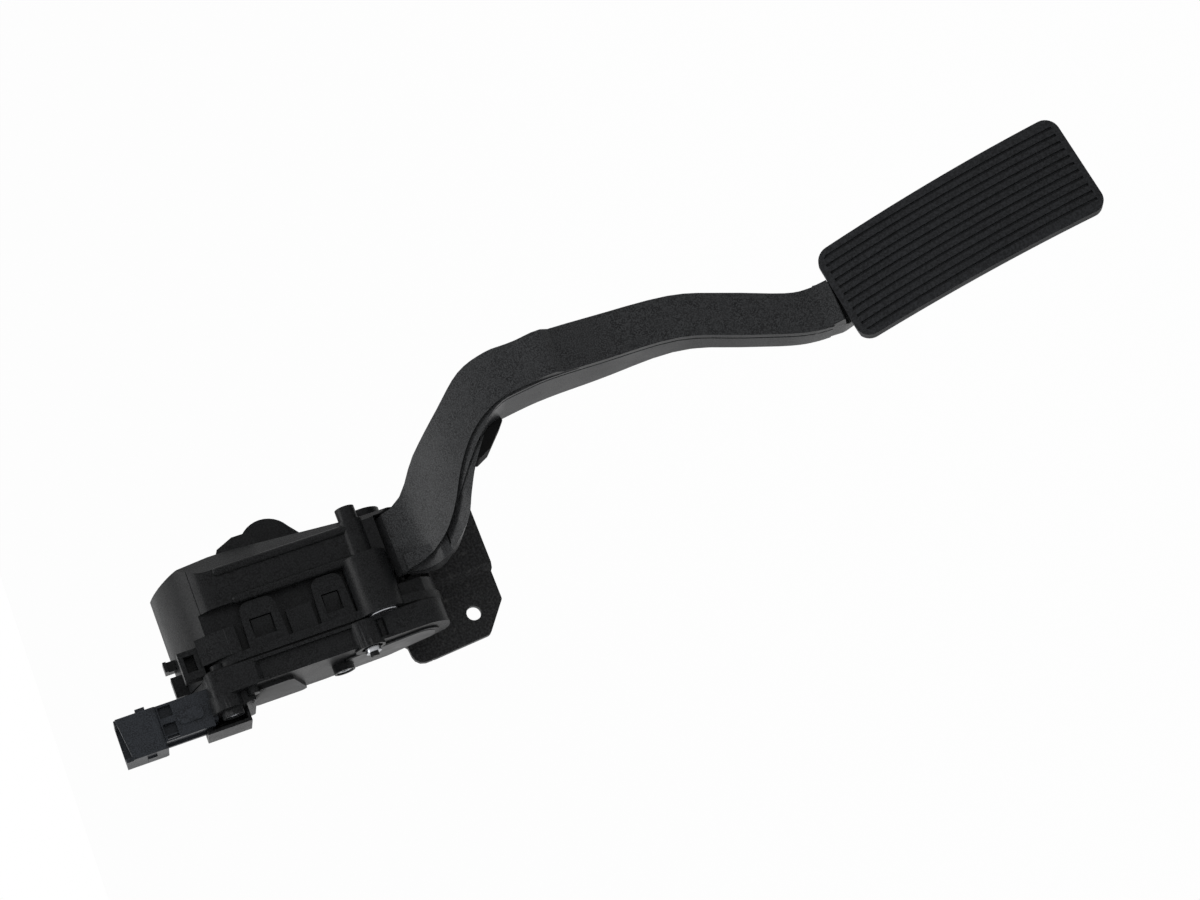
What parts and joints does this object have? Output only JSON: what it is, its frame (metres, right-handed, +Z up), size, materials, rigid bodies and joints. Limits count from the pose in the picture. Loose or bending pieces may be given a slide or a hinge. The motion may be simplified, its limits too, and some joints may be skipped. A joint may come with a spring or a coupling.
{
  "type": "accelerator pedal",
  "caption": "Hanging electronic accelerator pedal: a grooved pad on a curved arm that turns in a sensor housing with a plug connector, on a pressed metal bracket plate.",
  "frame": {"origin": "centre of the lower bolt hole, on the face of the bracket plate that lies on the bulkhead", "axes": "+X to the driver's right along the pedal's pivot, +Y forward into the bulkhead, +Z up"},
  "size_m": [0.1124, 0.1407, 0.4546],
  "materials": {
    "bracket_paint": "black coated pressed steel, satin",
    "black_plastic": "black moulded plastic with a fine grain",
    "connector_plastic": "blue-black moulded plastic",
    "arm_plastic": "dark grey grained glass-filled plastic",
    "pad_rubber": "black rubber, grooved",
    "seal_rubber": "black rubber",
    "label_film": "bare light grey label film",
    "bright_steel": "zinc plated",
    "spring_steel": "oiled spring wire",
    "contact_brass": "plated brass",
    "board_green": "coated circuit board",
    "chip_black": "moulded chip",
    "bearing_plastic": "natural bearing plastic",
    "magnet": "sintered magnet"
  },
  "bodies": {
    "fixed": {"mounting_bracket": "bracket_paint", "housing": "black_plastic", "latch_plate": "black_plastic", "cover_gasket": "seal_rubber", "sensor_cover": "black_plastic", "cover_screws": "bright_steel", "blank_label": "label_film", "connector_shell": "connector_plastic", "connector_pins": "contact_brass", "circuit_board": "board_green", "sensor_chip": "chip_black", "shaft_seal": "seal_rubber", "bush_left": "bearing_plastic", "bush_right": "bearing_plastic", "through_bolt": "bright_steel", "bolt_washer": "bright_steel", "bracket_screws": "bright_steel", "ear_insert": "contact_brass", "spring_seat": "bearing_plastic", "return_spring_outer": "spring_steel", "return_spring_inner": "spring_steel", "friction_shoe": "bearing_plastic", "idle_stop": "seal_rubber", "full_stop": "seal_rubber"},
    "pedal": {"pedal_arm": "arm_plastic", "pedal_pad": "pad_rubber", "pivot_shaft": "bright_steel", "sensor_rotor": "bearing_plastic", "rotor_magnet": "magnet", "spring_follower": "bearing_plastic", "stop_buffer": "seal_rubber"}
  },
  "joints": [
    {"name": "pedal_pivot", "type": "hinge", "parent": "fixed", "child": "pedal", "pos_m": [0.033, -0.025, 0.036], "axis": [1, 0, 0], "range_deg": [0, 14], "stiffness_Nm_per_rad": 11.5, "springref_deg": -20.05, "deforming": ["return_spring_outer", "return_spring_inner"]}
  ]
}
